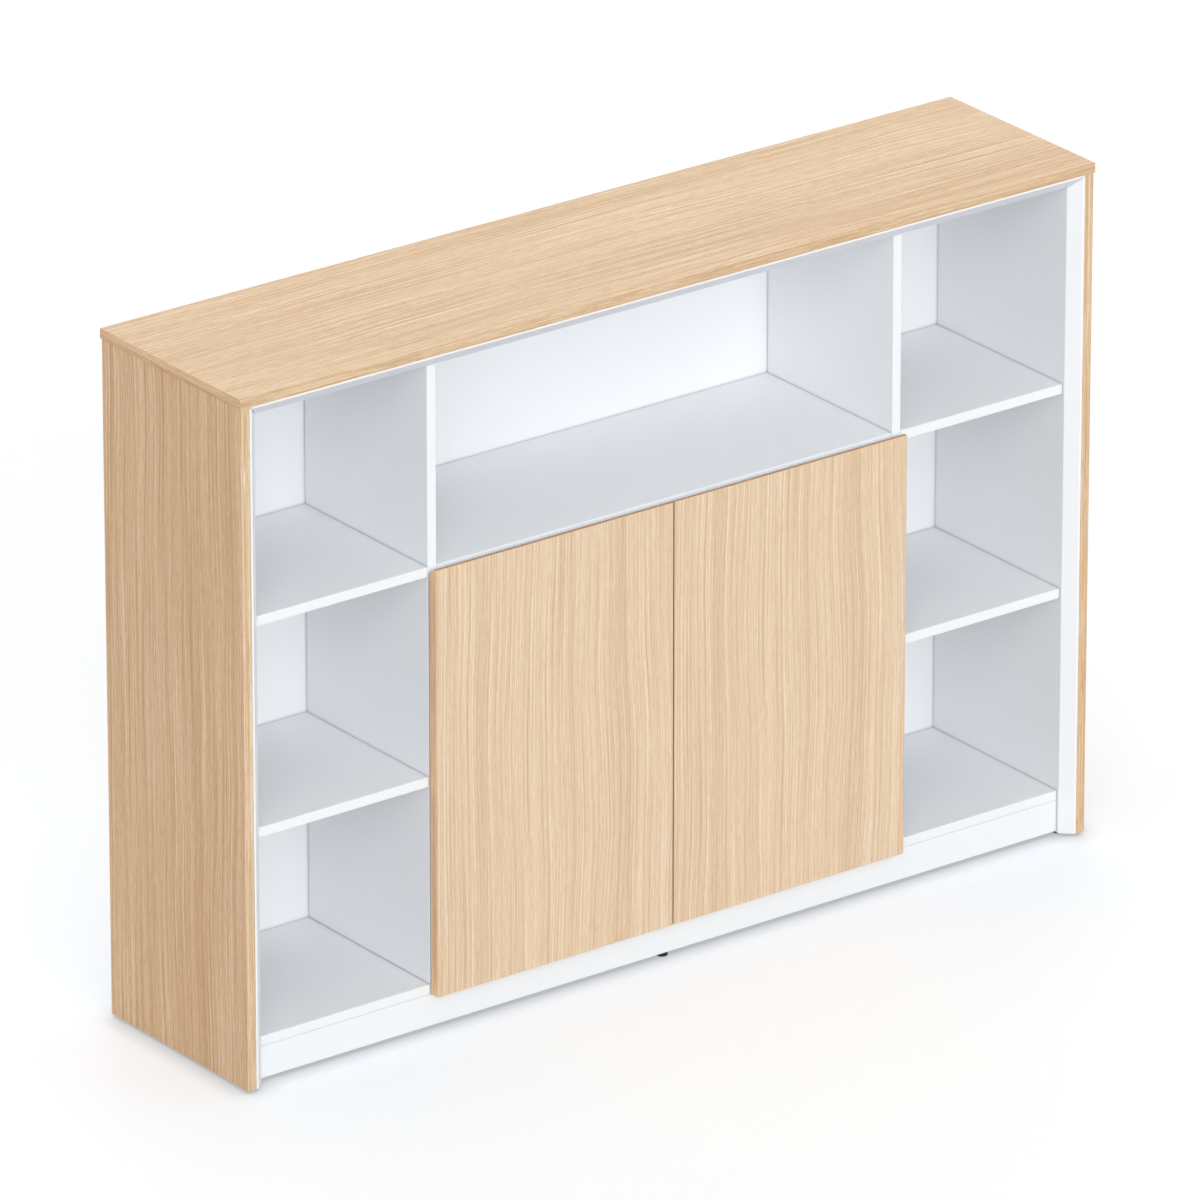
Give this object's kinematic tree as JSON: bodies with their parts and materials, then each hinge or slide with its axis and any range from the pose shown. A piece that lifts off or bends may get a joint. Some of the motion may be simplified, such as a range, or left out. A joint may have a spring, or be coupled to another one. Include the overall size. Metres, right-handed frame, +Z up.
{
  "type": "shelving unit",
  "caption": "Low wide office shelving unit: open bays in both outer columns and across the top of the middle one, with a two-door cupboard below, oak outside and white inside.",
  "frame": {"origin": "on the floor, below the middle of the unit's overall box", "axes": "+X along the width towards the right side as seen from the front, the front faces -Y, +Z up"},
  "size_m": [1.8, 0.4, 1.255],
  "materials": {
    "oak": "matt, light oak grain",
    "white_board": "white melamine, satin",
    "hinge_steel": "nickel plated",
    "insert_brass": "plain",
    "foot_plastic": "black, matt",
    "bumper_rubber": "translucent grey, matt"
  },
  "bodies": {
    "carcass": {"top_panel": "oak", "left_side_panel": "oak", "right_side_panel": "oak", "top_liner": "white_board", "left_liner": "white_board", "right_liner": "white_board", "bottom_board": "white_board", "front_plinth": "white_board", "rear_plinth": "white_board", "back_panel": "white_board", "left_divider": "white_board", "right_divider": "white_board", "left_upper_shelf": "white_board", "left_lower_shelf": "white_board", "right_upper_shelf": "white_board", "right_lower_shelf": "white_board", "centre_shelf": "white_board", "inner_shelf": "white_board", "shelf_pin_left_front": "hinge_steel", "shelf_pin_left_rear": "hinge_steel", "shelf_pin_right_front": "hinge_steel", "shelf_pin_right_rear": "hinge_steel", "hinge_arm_left_upper": "hinge_steel", "hinge_arm_left_lower": "hinge_steel", "hinge_arm_right_upper": "hinge_steel", "hinge_arm_right_lower": "hinge_steel", "hinge_plate_left_upper": "hinge_steel", "hinge_plate_left_lower": "hinge_steel", "hinge_plate_right_upper": "hinge_steel", "hinge_plate_right_lower": "hinge_steel", "foot_insert_left_front": "insert_brass", "foot_insert_left_rear": "insert_brass", "foot_insert_centre_front": "insert_brass", "foot_insert_centre_rear": "insert_brass", "foot_insert_right_front": "insert_brass", "foot_insert_right_rear": "insert_brass"},
    "left_door": {"left_door": "oak", "hinge_cup_left_upper": "hinge_steel", "hinge_cup_left_lower": "hinge_steel", "door_bumper_left_upper": "bumper_rubber", "door_bumper_left_lower": "bumper_rubber"},
    "right_door": {"right_door": "oak", "hinge_cup_right_upper": "hinge_steel", "hinge_cup_right_lower": "hinge_steel", "door_bumper_right_upper": "bumper_rubber", "door_bumper_right_lower": "bumper_rubber"},
    "foot_left_front": {"levelling_foot_left_front": "foot_plastic"},
    "foot_left_rear": {"levelling_foot_left_rear": "foot_plastic"},
    "foot_centre_front": {"levelling_foot_centre_front": "foot_plastic"},
    "foot_centre_rear": {"levelling_foot_centre_rear": "foot_plastic"},
    "foot_right_front": {"levelling_foot_right_front": "foot_plastic"},
    "foot_right_rear": {"levelling_foot_right_rear": "foot_plastic"}
  },
  "joints": [
    {"name": "left_door_hinge", "type": "hinge", "parent": "carcass", "child": "left_door", "pos_m": [-0.5, -0.1935, 0.067], "axis": [0, 0, -1], "range_deg": [0, 110]},
    {"name": "right_door_hinge", "type": "hinge", "parent": "carcass", "child": "right_door", "pos_m": [0.5, -0.1935, 0.067], "axis": [0, 0, 1], "range_deg": [0, 110]},
    {"name": "left_front_foot_turn", "type": "hinge", "parent": "carcass", "child": "foot_left_front", "pos_m": [-0.86785, -0.162, 0], "axis": [0, 0, 1], "continuous": true},
    {"name": "left_rear_foot_turn", "type": "hinge", "parent": "carcass", "child": "foot_left_rear", "pos_m": [-0.86785, 0.162, 0], "axis": [0, 0, 1], "continuous": true},
    {"name": "centre_front_foot_turn", "type": "hinge", "parent": "carcass", "child": "foot_centre_front", "pos_m": [0, -0.162, 0], "axis": [0, 0, 1], "continuous": true},
    {"name": "centre_rear_foot_turn", "type": "hinge", "parent": "carcass", "child": "foot_centre_rear", "pos_m": [0, 0.162, 0], "axis": [0, 0, 1], "continuous": true},
    {"name": "right_front_foot_turn", "type": "hinge", "parent": "carcass", "child": "foot_right_front", "pos_m": [0.86785, -0.162, 0], "axis": [0, 0, 1], "continuous": true},
    {"name": "right_rear_foot_turn", "type": "hinge", "parent": "carcass", "child": "foot_right_rear", "pos_m": [0.86785, 0.162, 0], "axis": [0, 0, 1], "continuous": true}
  ]
}
